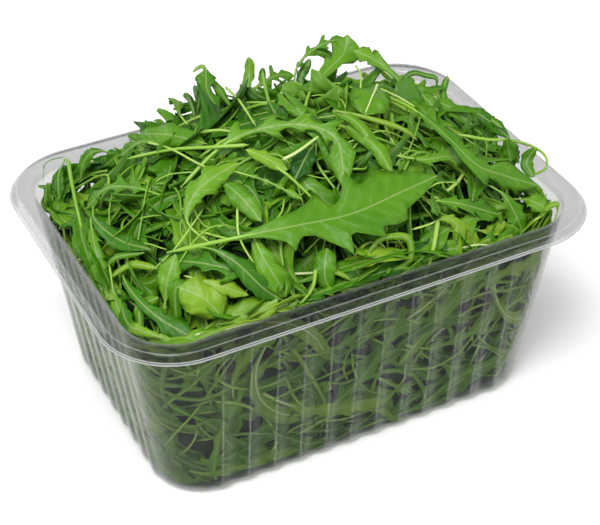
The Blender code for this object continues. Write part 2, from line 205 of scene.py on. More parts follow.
def leafMaterial(name, paleness):
    # the midrib lies at 0.5 across the UV map
    material, tree = newMaterial(name)
    uv = addNode(tree, "UVMap", uv_map="leafMap")
    parts = addNode(tree, "SeparateXYZ", {0: uv.outputs[0]})
    along = addMath(tree, "MULTIPLY", parts.outputs[0], leafLook["mapLength"])
    fromRib = addMath(tree, "ABSOLUTE", addMath(tree, "SUBTRACT", parts.outputs[1], 0.5))
    fromRib = addMath(tree, "MULTIPLY", fromRib, leafLook["mapWidth"])
    tone = readAttribute(tree, "tone")
    place = objectPlace(tree)
    patches = addNoise(tree, place, 55.0, 3.0)
    grain = addNoise(tree, place, 700.0, 2.0)
    contrast = leafLook["patchContrast"]
    shade = addMath(tree, "MULTIPLY_ADD", patches, contrast, -contrast / 2)
    shade = addMath(tree, "ADD", tone, shade)
    colour = addRamp(tree, shade, [
        (0.0, leafLook["deep"]),
        (0.38, leafLook["mid"]),
        (0.70, leafLook["bright"]),
        (1.0, leafLook["yellow"]),
    ])
    # side veins leave the midrib forwards, and the blade puckers between them
    wobble = addMath(tree, "MULTIPLY", patches, 7.0)
    veinRun = addMath(tree, "MULTIPLY_ADD", fromRib, -0.9, along)
    veinRun = addMath(tree, "ADD", veinRun, wobble)
    veinRun = addMath(tree, "DIVIDE", veinRun, leafLook["veinSpacing"])
    vein = addMath(tree, "PINGPONG", veinRun, 0.5)
    pucker = addMath(tree, "SINE", addMath(tree, "MULTIPLY", veinRun, 2 * math.pi))
    pucker = addMath(tree, "MULTIPLY", pucker, addMath(tree, "MINIMUM", fromRib, 4.0))
    vein = addNode(tree, "MapRange", {0: vein, 1: 0.0, 2: 0.07, 3: 1.0, 4: 0.0},
                   interpolation_type="SMOOTHSTEP").outputs[0]
    veinTint = addMath(tree, "MULTIPLY", vein, addMath(tree, "MULTIPLY", grain, 0.34))
    colour = mixColours(tree, veinTint, colour, (*leafLook["rib"], 1.0))
    rib = addNode(tree, "MapRange", {0: fromRib, 1: 0.08, 2: 0.46, 3: 0.6, 4: 0.0},
                  interpolation_type="SMOOTHSTEP").outputs[0]
    colour = mixColours(tree, rib, colour, (*leafLook["rib"], 1.0))
    if paleness:
        colour = mixColours(tree, paleness, colour, (*leafLook["under"], 1.0))
    relief = addMath(tree, "MULTIPLY_ADD", vein, -0.4, addMath(tree, "MULTIPLY", grain, 0.4))
    relief = addMath(tree, "ADD", relief, addMath(tree, "MULTIPLY", patches, 6.0))
    relief = addMath(tree, "MULTIPLY_ADD", pucker, leafLook["pucker"], relief)
    bump = addNode(tree, "Bump", {"Strength": 0.5, "Distance": 0.0005, "Height": relief})
    body = addBody(tree, colour, leafLook["roughness"], 0.30, bump)
    glow = addNode(tree, "BsdfTranslucent", {
        "Color": mixColours(tree, 0.40, colour, leafLook["glowTint"]),
        "Normal": bump.outputs[0],
    })
    blend = mixShaders(tree, leafLook["translucency"], body, glow)
    finishMaterial(tree, blend.outputs[0])
    return material


def stalkMaterial():
    material, tree = newMaterial("stalkGreen")
    tone = readAttribute(tree, "tone")
    place = objectPlace(tree)
    patches = addNoise(tree, place, 90.0, 2.0)
    shade = addMath(tree, "MULTIPLY_ADD", patches, 0.4, -0.2)
    shade = addMath(tree, "ADD", tone, shade)
    colour = addRamp(tree, shade, [
        (0.0, (0.080, 0.220, 0.014)),
        (0.5, (0.200, 0.400, 0.030)),
        (0.8, (0.340, 0.520, 0.090)),
        (1.0, (0.560, 0.640, 0.300)),
    ])
    body = addBody(tree, colour, 0.38, 0.45)
    finishMaterial(tree, body.outputs[0])
    return material


# painted shade: the core stands for leaves deep in the heap, coloured near black for the shade they lie in
def coreMaterial():
    material, tree = newMaterial("shadedLeaves")
    place = objectPlace(tree)
    lumps = addNoise(tree, place, 120.0, 4.0)
    colour = addRamp(tree, lumps, [
        (0.35, (0.004, 0.014, 0.002)),
        (0.60, (0.016, 0.055, 0.005)),
    ])
    bump = addNode(tree, "Bump", {"Strength": 0.8, "Distance": 0.002, "Height": lumps})
    body = addBody(tree, colour, 0.7, 0.2, bump)
    finishMaterial(tree, body.outputs[0])
    return material


tubLook = {
    "wallTint": (0.790, 0.800, 0.785, 1.0),
    "flangeTint": (0.690, 0.695, 0.690, 1.0),
    "haze": 0.003,
    # painted highlight: how much of the whitish body goes into the lines along the folds, the lip and the rib
    # crests
    "highlightLineStrength": 0.50,
    "hazeAndHighlightColour": (0.80, 0.81, 0.82, 1.0),
    "roughness": 0.10,
    "mirrorLeast": 0.011,       # share of light mirrored head on, and what is added at a glance
    "mirrorMore": 0.8,
    "mirrorPower": 5.0,
}


def tubMaterial():
    material, tree = newMaterial("clearPlastic")
    highlightLine = readAttribute(tree, "highlightLine")
    place = objectPlace(tree)
    stretch = addNode(tree, "Mapping", {"Vector": place, "Scale": (1.0, 1.0, 0.2)})
    flow = addNoise(tree, stretch.outputs[0], 60.0, 2.0)
    bump = {"Strength": 0.09, "Distance": 0.0004, "Height": flow}
    unevenness = addNode(tree, "Bump", bump)
    # a faint milky haze everywhere, and the whitish body mixed in strongly along the painted highlight lines
    haze = addMath(tree, "MULTIPLY_ADD", highlightLine, tubLook["highlightLineStrength"], tubLook["haze"])
    height = addNode(tree, "SeparateXYZ", {0: place}).outputs[2]
    onFlange = addMath(tree, "GREATER_THAN", height, rimHeight - tubForm["lipDrop"] - tubForm["wall"])
    tint = mixColours(tree, onFlange, tubLook["wallTint"], tubLook["flangeTint"])
    clear = addNode(tree, "BsdfTransparent", {"Color": tint})
    hazeAndHighlight = addBody(tree, tubLook["hazeAndHighlightColour"], 0.3, bump=unevenness)
    gloss = addNode(tree, "BsdfGlossy", {
        "Color": (0.95, 0.95, 0.95, 1.0),
        "Roughness": tubLook["roughness"],
        "Normal": unevenness.outputs[0],
    })
    veil = mixShaders(tree, haze, clear, hazeAndHighlight)
    weight = addNode(tree, "LayerWeight", {"Blend": 0.5, "Normal": unevenness.outputs[0]})
    edgeGloss = addMath(tree, "POWER", weight.outputs["Facing"], tubLook["mirrorPower"])
    mirror = addMath(tree, "MULTIPLY_ADD", edgeGloss, tubLook["mirrorMore"], tubLook["mirrorLeast"])
    skin = mixShaders(tree, mirror, veil, gloss)
    finishMaterial(tree, skin.outputs[0])
    return material


def edgeMaterial():
    # the cut edge gathers light from the whole sheet
    material, tree = newMaterial("brightEdge")
    clear = addNode(tree, "BsdfTransparent", {"Color": (0.9, 0.9, 0.9, 1.0)})
    body = addBody(tree, (0.90, 0.91, 0.90, 1.0), 0.25)
    blend = mixShaders(tree, 0.75, clear, body)
    finishMaterial(tree, blend.outputs[0])
    return material


# the tub: a quarter of its outer skin, mirrored twice and given its wall
tubForm = {
    "lipOut": 2.8 * mm,
    "lipDrop": 2.9 * mm,
    "flange": 5.3 * mm,
    "foldRadius": 0.5 * mm,
    "baseLength": 150.0 * mm,
    "baseWidth": 103.4 * mm,
    "wallRadius": 19.5 * mm,
    "baseRounding": 4.5 * mm,
    "wall": 0.45 * mm,
    "ribDepth": 1.6 * mm,
    "longPitch": 10.35 * mm,
    "longRibs": 6,
    "shortPitch": 9.8 * mm,
    "shortRibs": 4,
    "ribTop": 73.0 * mm,
    "ribSteps": (0.0, 0.12, 0.22, 0.32, 0.41, 0.475, 0.5, 0.525, 0.59, 0.68, 0.78, 0.88),
    "cornerSteps": 7,
}
wallHalfTop = (
    tubHigh.x - tubForm["lipOut"] - tubForm["flange"],
    tubHigh.y - tubForm["lipOut"] - tubForm["flange"],
)
wallHalfBase = (tubForm["baseLength"] / 2, tubForm["baseWidth"] / 2)


def wallHalfSizes(z):
    share = clamp(z / rimHeight, 0.0, 1.0)
    return tuple(low + (high - low) * share for low, high in zip(wallHalfBase, wallHalfTop))


def ribWave(phase):
    # a broad flute with a slightly narrower valley, from -1 to 1
    return math.tanh(0.7 * math.cos(phase) + 0.15) / math.tanh(0.85)


def quarterStations(halfX, halfY, radius):
    # places along the quarter outline, each with its rib wave and how strong the painted highlight line of a
    # rib's crest is there
    length = quarterLength(halfX, halfY, radius)
    corner = (halfY - radius) + radius * math.pi / 4

    def ribbed(pitch, ribs):
        places = [rib + step for rib in range(ribs) for step in tubForm["ribSteps"]] + [float(ribs)]
        stations = []
        for share in places:
            phase = 2 * math.pi * share
            fade = min(1.0, (ribs - share) * 2)
            wave = ribWave(phase + math.pi) * fade
            # painted highlight: a narrow whitish line down each rib's crest
            line = max(0.0, math.cos(phase + math.pi)) ** 160 * fade
            stations.append((share * pitch, wave, line))
        return stations

    stations = ribbed(tubForm["shortPitch"], tubForm["shortRibs"])
    longSide = ribbed(tubForm["longPitch"], tubForm["longRibs"])
    start, end = stations[-1][0], length - longSide[-1][0]
    count = tubForm["cornerSteps"]
    for k in range(1, count + 1):
        stations.append((start + (corner - start) * k / count, 0.0, 0.0))
    for k in range(1, count):
        stations.append((corner + (end - corner) * k / count, 0.0, 0.0))
    return stations + [(length - place, wave, line) for place, wave, line in longSide[::-1]]


def tubProfile():
    # (offset from the wall's rim line, z, rib strength, painted highlight line); a None offset lies on the
    # wall
    inset = tubForm["baseRounding"]
    wall = tubForm["wall"]
    fold = tubForm["foldRadius"]
    under = rimHeight - wall
    flange = tubForm["flange"]
    rows = [(-inset, 0.0, 0.0, 0.0)]
    for k in range(1, 6):
        turn = math.radians(90 * k / 6)
        rows.append((-inset * (1 - math.sin(turn)), inset * (1 - math.cos(turn)), 0.9 * k / 6, 0.0))
    wallRows = 14
    for k in range(wallRows + 1):
        z = inset + (tubForm["ribTop"] - inset) * k / wallRows
        rows.append((None, z, 0.9 - 0.4 * k / wallRows, 0.0))
    for k in range(1, 6):
        z = tubForm["ribTop"] + (under - fold - tubForm["ribTop"]) * k / 5
        rows.append((None, z, 0.5 - 0.5 * k / 5, 0.0))
    # painted highlight lines: faint along the fold into the flange, stronger along the fold down to the lip
    for k in range(1, 5):
        turn = math.radians(90 * k / 4)
        rows.append((fold * (1 - math.cos(turn)), under - fold * (1 - math.sin(turn)), 0.0, 0.12))
    for k in range(1, 4):
        rows.append((fold + (flange - 2 * fold) * k / 3, under, 0.0, 0.0))
    slope = math.atan2(tubForm["lipDrop"], tubForm["lipOut"])
    for k in range(1, 5):
        turn = slope * k / 4
        out = flange - fold + 2 * fold * math.sin(turn)
        rows.append((out, under - 2 * fold * (1 - math.cos(turn)), 0.0, (0.0, 0.45, 0.0, 0.0)[k - 1]))
    lipX = flange + tubForm["lipOut"] - wall * math.sin(slope)
    lipZ = rimHeight - tubForm["lipDrop"] - wall * math.cos(slope)
    lastOut, lastZ = rows[-1][0], rows[-1][1]
    # painted highlight lines along the lip and its cut edge
    lipHighlightLines = ((0.45, 0.0), (0.62, 0.0), (0.70, 0.75), (0.80, 0.05), (0.90, 0.60), (1.0, 0.75))
    for share, highlightLine in lipHighlightLines:
        rows.append((lastOut + (lipX - lastOut) * share, lastZ + (lipZ - lastZ) * share, 0.0, highlightLine))
    return rows


def makeTub():
    profile = tubProfile()
    radius = tubForm["wallRadius"]
    columns = len(quarterStations(*wallHalfBase, radius)) - 1
    bm = bmesh.new()
    highlightLineLayer = bm.verts.layers.float.new("highlightLine")
    bmesh.ops.create_grid(bm, x_segments=columns, y_segments=len(profile), size=1.0)
    for vert in bm.verts:
        column = round((vert.co.x + 1) / 2 * columns)
        row = round((vert.co.y + 1) / 2 * len(profile))
        if row == 0:
            vert.co = (0.0, 0.0, 0.0)
            continue
        out, z, ribs, highlightLine = profile[row - 1]
        if out is None or z < tubForm["baseRounding"]:
            halfX, halfY = wallHalfSizes(max(z, tubForm["baseRounding"] * 0.5))
            offset = out or 0.0
        else:
            halfX, halfY = wallHalfTop
            offset = out
        stations = quarterStations(halfX + offset, halfY + offset, radius + offset)
        place, wave, line = stations[column]
        point, normal = quarterPoint(halfX + offset, halfY + offset, radius + offset, place)
        point += normal * (wave * ribs * tubForm["ribDepth"] / 2)
        # painted highlights: the lines along the folds and lip, and down each rib's crest
        vert[highlightLineLayer] = max(highlightLine, line * ribs * 0.45)
        x = 0.0 if column == columns else point.x
        y = 0.0 if column == 0 else point.y
        vert.co = (x, y, z)
    bmesh.ops.remove_doubles(bm, verts=bm.verts[:], dist=1e-6)
    bmesh.ops.recalc_face_normals(bm, faces=bm.faces[:])
    if min(bm.faces, key=lambda face: face.calc_center_median().z).normal.z > 0:
        bmesh.ops.reverse_faces(bm, faces=bm.faces[:])
    tub = newObject("clearTub", bm, [tubMaterial(), edgeMaterial()], "tub")
    mirror = tub.modifiers.new("quarters", "MIRROR")
    mirror.use_axis = (True, True, False)
    mirror.merge_threshold = 0.02 * mm
    addSolidify(tub, tubForm["wall"], rimMaterial=1)
    return tub


# the heap: a dark core, and leaves of several kinds that lie along curves over it and down the walls
heapForm = {
    "edgeBelowRim": 9.0 * mm,
    "crownAboveRim": 30.0 * mm,
    "halfLength": 84.0 * mm,
    "halfWidth": 59.0 * mm,
    "coreInset": 7.0 * mm,
    "coreBelowLeaves": 12.0 * mm,
    "floor": 1.6 * mm,
    "squareness": 2.4,
    "steepness": 0.75,
}


def heapTop(x, y):
    power = heapForm["squareness"]
    reach = (abs(x) / heapForm["halfLength"]) ** power + (abs(y) / heapForm["halfWidth"]) ** power
    reach = min(reach ** (1 / power), 1.0)
    rise = heapForm["edgeBelowRim"] + heapForm["crownAboveRim"]
    return rimHeight - heapForm["edgeBelowRim"] + rise * (1 - reach * reach) ** heapForm["steepness"]


def makeCore():
    around, levels, crown = 72, 8, 12
    rows = levels + crown + 1
    inset = heapForm["coreInset"]
    topZ = rimHeight - heapForm["edgeBelowRim"] - heapForm["coreBelowLeaves"]
    bm = bmesh.new()
    bmesh.ops.create_grid(bm, x_segments=around, y_segments=rows, size=1.0)
    for vert in bm.verts:
        turn = 2 * (vert.co.x + 1)
        row = round((vert.co.y + 1) / 2 * rows)
        if row == 0:
            vert.co = (0.0, 0.0, heapForm["floor"])
            continue
        level = min((row - 1) / levels, 1.0)
        z = heapForm["floor"] + (topZ - heapForm["floor"]) * level
        halfX, halfY = (half - inset for half in wallHalfSizes(z))
        point, _ = outlinePoint(halfX, halfY, tubForm["wallRadius"] - inset, turn)
        overTop = (row - levels - 1) / crown
        if overTop > 0:
            point *= (1 - overTop) ** 0.8
            z = heapTop(point.x, point.y) - heapForm["coreBelowLeaves"]
        lump = noise.noise(Vector((point.x, point.y, z)) * 70) * 3.0 * mm
        vert.co = (point.x * (1 + lump * 4), point.y * (1 + lump * 4), z + (lump if overTop > 0 else 0.0))
    bmesh.ops.remove_doubles(bm, verts=bm.verts[:], dist=1e-5)
    bmesh.ops.recalc_face_normals(bm, faces=bm.faces[:])
    return newObject("heapCore", bm, [coreMaterial()], "rocket")


# half: widest half width of the blade, stalk: bare stalk and end: end lobe, all as shares of the
# length; lobes: how many on a side; bay: width left between them; sweep: how far forward they lean
leafKinds = {
    "big": {"half": 0.15, "stalk": 0.25, "lobes": (0, 0), "end": 1.0, "bay": (1.0, 1.0), "sweep": 0.0},
    "toothed": {"half": 0.11, "stalk": 0.24, "lobes": (2, 3), "end": 0.42, "bay": (0.40, 0.62), "sweep": 0.8},
    "lobed": {"half": 0.15, "stalk": 0.20, "lobes": (3, 4), "end": 0.34, "bay": (0.12, 0.24), "sweep": 0.8},
    "plain": {"half": 0.072, "stalk": 0.24, "lobes": (0, 0), "end": 1.0, "bay": (1.0, 1.0), "sweep": 0.15},
    "tongue": {"half": 0.105, "stalk": 0.05, "lobes": (0, 0), "end": 1.0, "bay": (1.0, 1.0), "sweep": 0.1},
    "spoon": {"half": 0.190, "stalk": 0.40, "lobes": (0, 0), "end": 1.0, "bay": (1.0, 1.0), "sweep": 0.1},
    "strip": {"half": 0.020, "stalk": 0.0, "lobes": (0, 0), "end": 1.0, "bay": (1.0, 1.0), "sweep": 0.0},
}
# one lobe from its bay to its tip and back: a forward tooth, and a finger with a round end
lobeContours = {
    "toothed": ((0.06, 0.0), (0.36, 0.22), (0.60, 0.70), (0.74, 1.0), (0.84, 0.50), (0.93, 0.08)),
    "lobed": ((0.12, 0.0), (0.32, 0.14), (0.42, 0.82), (0.52, 1.0), (0.63, 0.92), (0.72, 0.30)),
}
# the end lobe, or the whole of a blade without lobes, from its foot to its tip: right and left, or both
endContours = {
    "big": ((0.0, 0.08), (0.05, 0.14), (0.10, 0.25, 0.20), (0.14, 0.34, 0.26), (0.17, 0.58, 0.28),
        (0.195, 0.36, 0.32), (0.22, 0.27, 0.36), (0.27, 0.30, 0.48), (0.31, 0.46, 0.63),
        (0.345, 0.60, 0.74), (0.36, 0.68, 0.50), (0.38, 0.76, 0.34), (0.40, 0.95, 0.31),
        (0.415, 0.50, 0.33), (0.44, 0.47, 0.42), (0.47, 0.56, 0.60), (0.50, 0.66, 0.85),
        (0.53, 0.74, 0.95), (0.55, 0.80, 0.60), (0.565, 0.54, 0.53), (0.60, 0.58, 0.56),
        (0.64, 0.61, 0.63), (0.67, 0.62, 0.68), (0.70, 0.60, 0.74), (0.715, 0.41, 0.73),
        (0.76, 0.36, 0.63), (0.81, 0.31, 0.50), (0.86, 0.24, 0.35), (0.91, 0.16, 0.19), (0.96, 0.09, 0.08)),
    "toothed": ((0.02, 0.50), (0.14, 0.72), (0.30, 0.95), (0.46, 0.92), (0.62, 0.72), (0.78, 0.46),
        (0.91, 0.20)),
    "lobed": ((0.06, 0.16), (0.22, 0.48), (0.38, 0.64), (0.56, 0.56), (0.74, 0.38), (0.90, 0.18)),
    "plain": ((0.06, 0.12), (0.16, 0.30, 0.28), (0.26, 0.52, 0.46), (0.32, 0.80, 0.54),
        (0.35, 0.60, 0.70), (0.45, 0.74, 0.94), (0.50, 0.84, 0.72), (0.57, 1.0, 0.80),
        (0.60, 0.80, 0.88), (0.68, 0.84, 0.98), (0.72, 0.82, 0.76), (0.80, 0.66, 0.62),
        (0.89, 0.42, 0.38), (0.95, 0.22)),
    "tongue": ((0.03, 0.34, 0.36), (0.16, 0.58, 0.60), (0.34, 0.80, 0.86), (0.44, 0.84, 1.0),
        (0.54, 0.98, 0.94), (0.68, 1.0, 0.94), (0.80, 0.90, 0.84), (0.90, 0.68, 0.62), (0.96, 0.42, 0.40)),
    "spoon": ((0.04, 0.20), (0.12, 0.50), (0.24, 0.80), (0.40, 1.0), (0.58, 1.0), (0.74, 0.86),
        (0.86, 0.62), (0.94, 0.38)),
    "strip": ((0.06, 0.6), (0.20, 0.85), (0.36, 0.95), (0.50, 1.0), (0.64, 1.0), (0.78, 0.9), (0.90, 0.65)),
}
leafForm = {
    "thickness": 0.35 * mm,
    "stalkRadius": 0.80 * mm,
    "stalkSides": 6,
    "stalkCells": 18,
    "wallClearance": 1.75 * mm,
    "rimClearance": 1.2 * mm,
    "highest": 119.0 * mm,
}


def insideTub(point):
    # where the point comes to lie when the wall pushes it back in
    point.z = clamp(point.z, heapForm["floor"], leafForm["highest"])
    if point.z > rimHeight + leafForm["rimClearance"]:
        return point
    radius = tubForm["wallRadius"]
    halfSizes = wallHalfSizes(point.z)
    over = [abs(v) - (limit - radius) for v, limit in zip(point, halfSizes)]
    corner = Vector((max(over[0], 0.0), max(over[1], 0.0)))
    excess = corner.length + min(max(over), 0.0) - radius + leafForm["wallClearance"]
    if excess > 0:
        if corner.length == 0:
            corner = Vector((1.0, 0.0)) if over[0] > over[1] else Vector((0.0, 1.0))
        push = corner.normalized() * excess
        point.x -= math.copysign(push.x, point.x)
        point.y -= math.copysign(push.y, point.y)
    return point


def leafOutline(kind, draw, fine):
    # (place along the leaf, width to the right, width to the left), widths as shares of the widest
    shape = leafKinds[kind]
    stalk = shape["stalk"]
    foot = 1 - shape["end"]
    lobes = draw.randint(*shape["lobes"])
    openBay = draw.uniform(*shape["bay"])
    flipped = kind != "big" and draw.random() < 0.5
    places = []
    for k in range(lobes):
        grown = 0.45 + 0.55 * (k + 1) / lobes
        bay = openBay * (0.35 + 0.65 * (k + 0.5) / lobes)
        start, pitch = foot * k / lobes, foot / lobes * draw.uniform(0.94, 1.0)
        strengths = [grown * draw.choice((0.4, 0.8, 0.95, 1.1)) for side in range(2)]
        for share, reach in lobeContours[kind]:
            widths = [bay + max(strength - bay, 0.0) * reach for strength in strengths]
            places.append((start + pitch * share, *widths))
    for share, *widths in endContours[kind]:
        right, left = widths[0], widths[-1]
        if kind != "big":
            right, left = right * draw.uniform(0.85, 1.1), left * draw.uniform(0.85, 1.1)
        if flipped:
            right, left = left, right
        places.append((foot + shape["end"] * share, right, left))
    blade = [(stalk + (1 - stalk) * share, right, left) for share, right, left in places]
    bare = [(0.0, 0.03, 0.03), (stalk * 0.5, 0.03, 0.03), (stalk * 0.92, 0.04, 0.04)]
    if stalk == 0:
        bare = [(0.0, 0.3, 0.3)]
    places = bare + blade + [(1.0, 0.015, 0.015)]
    if not fine:
        return places
    # places between, bulging a little where the edge is round
    finer = places[:1]
    for before, after in zip(places, places[1:]):
        middle = [(a + b) / 2 for a, b in zip(before, after)]
        bulge = 1.04 if kind in ("plain", "spoon", "strip") else 1.0
        finer += [(middle[0], middle[1] * bulge, middle[2] * bulge), after]
    return finer


def pathPoint(points, share):
    # a smooth curve through evenly spaced points
    spans = len(points) - 1
    place = clamp(share, 0.0, 1.0) * spans
    k = min(int(place), spans - 1)
    t = place - k
    p1, p2 = points[k], points[k + 1]
    p0 = points[k - 1] if k > 0 else p1 * 2 - p2
    p3 = points[k + 2] if k + 2 <= spans else p2 * 2 - p1
    return 0.5 * (p1 * 2 + (p2 - p0) * t + (p0 * 2 - p1 * 5 + p2 * 4 - p3) * t * t
                  + (p1 * 3 - p0 - p2 * 3 + p3) * t * t * t)


def leafFrames(points, face, roll, twist, shares):
    # position, direction, across and face of the leaf at each share, carried along without spin
    places = [pathPoint(points, share) for share in shares]
    last = len(places) - 1
    ahead = [(pathPoint(points, share + 0.02) - pathPoint(points, share - 0.02)).normalized()
             for share in shares]
    middle = min(range(last + 1), key=lambda k: abs(shares[k] - 0.6))
    faces = [None] * (last + 1)

    def settle(vector, k):
        flat = vector - ahead[k] * vector.dot(ahead[k])
        if flat.length < 1e-6:
            flat = ahead[k].orthogonal()
        return flat.normalized()

    faces[middle] = settle(Vector(face), middle)
    for k in range(middle + 1, last + 1):
        faces[k] = settle(faces[k - 1], k)
    for k in range(middle - 1, -1, -1):
        faces[k] = settle(faces[k + 1], k)
    frames = []
    for k in range(last + 1):
        turn = Quaternion(ahead[k], math.radians(roll + twist * (shares[k] - 0.6)))
        up = turn @ faces[k]
        frames.append((places[k], ahead[k], up.cross(ahead[k]).normalized(), up))
    return frames


def pathLength(points):
    marks = [pathPoint(points, k / 24) for k in range(25)]
    return sum((b - a).length for a, b in zip(marks, marks[1:]))


leafMeshes = {}
leafCounts = {}


def leafMesh(kind):
    # one mesh gathers all the leaves of a kind
    if kind not in leafMeshes:
        bm = bmesh.new()
        bm.verts.layers.float.new("tone")
        bm.loops.layers.uv.new("leafMap")
        leafMeshes[kind] = bm
        leafCounts[kind] = 0
    leafCounts[kind] += 1
    return leafMeshes[kind]


def addLeaf(kind, points, face, draw, roll=0.0, twist=0.0, tone=0.5, keel=0.2, curl=0.0, wave=1.0, width=1.0,
            fine=False):
    shape = leafKinds[kind]
    outline = leafOutline(kind, draw, fine)
    shares = [share for share, right, left in outline]
    frames = leafFrames(points, face, roll, twist, shares)
    length = pathLength(points)
    half = shape["half"] * length * width
    phases = (draw.uniform(0, 6.28), draw.uniform(0, 6.28))
    waves = draw.uniform(14, 24)
    bm = leafMesh(kind)
    toneLayer = bm.verts.layers.float["tone"]
    uvLayer = bm.loops.layers.uv["leafMap"]
    count = len(outline) - 1
    across = 2 if kind == "strip" else 4
    made = bmesh.ops.create_grid(bm, x_segments=count, y_segments=across, size=1.0)["verts"]
    mapped = {}
    for vert in made:
        k = round((vert.co.x + 1) / 2 * count)
        lateral = vert.co.y
        side = 1 if lateral > 0 else 0
        place, ahead, sideways, up = frames[k]
        out = half * outline[k][1 + side] * abs(lateral)
        ripple = wave * 0.17 * out * math.sin(waves * shares[k] + phases[side]) * abs(lateral)
        fold = keel * out * (1.3 - 0.6 * abs(lateral))
        rise = fold + curl * out * out / max(half, mm) + ripple
        lean = shape["sweep"] * min(1.0, (1 - shares[k]) / (1 - shape["stalk"]) / shape["end"] * 0.8) ** 1.5
        spot = place + sideways * math.copysign(out, lateral) + ahead * out * lean + up * rise
        vert.co = insideTub(spot)
        vert[toneLayer] = tone
        mapped[vert] = (shares[k] * length / (leafLook["mapLength"] * mm),
                        0.5 + math.copysign(out, lateral) / (leafLook["mapWidth"] * mm))
    for vert in made:
        for loop in vert.link_loops:
            loop[uvLayer].uv = mapped[vert]
    if kind != "strip":
        addStalk(points, face, roll, twist, tone)


def addStalk(points, face, roll=0.0, twist=0.0, tone=0.5, reach=0.92, thick=1.0, taper=0.82):
    # the stalk, which runs on below the blade as its midrib
    bm = leafMesh("stalk")
    toneLayer = bm.verts.layers.float["tone"]
    cells, sides = leafForm["stalkCells"], leafForm["stalkSides"]
    shares = [reach * k / cells for k in range(cells + 1)]
    frames = leafFrames(points, face, roll, twist, shares)
    made = bmesh.ops.create_grid(bm, x_segments=cells, y_segments=sides, size=1.0)["verts"]
    base = leafForm["stalkRadius"] * thick * min(1.15, 0.32 + pathLength(points) / (125 * mm))
    for vert in made:
        k = round((vert.co.x + 1) / 2 * cells)
        turn = (vert.co.y + 1) * math.pi
        place, ahead, sideways, up = frames[k]
        radius = base * (1 - taper * shares[k] / reach) if 0 < k < cells else 0.04 * mm
        middle = place - up * base * 0.75 * min(1.0, shares[k] * 3)
        vert.co = insideTub(middle + (sideways * math.cos(turn) + up * math.sin(turn)) * radius)
        vert[toneLayer] = tone
    bmesh.ops.remove_doubles(bm, verts=made, dist=1e-6)


def finishLeaves():
    upper, under = leafMaterial("leafUpper", 0.0), leafMaterial("leafUnder", 0.32)
    stalkGreen = stalkMaterial()
    for kind, bm in leafMeshes.items():
        print(leafCounts[kind], kind, "pieces")
        if kind == "stalk":
            newObject("stalks", bm, [stalkGreen], "rocket")
            continue
        piece = newObject(kind + "Leaves", bm, [upper, under], "rocket")
        addSolidify(piece, leafForm["thickness"], underMaterial=1)


def onHeap(x, y, lift):
    return Vector((x * mm, y * mm, heapTop(x * mm, y * mm) + lift * mm))


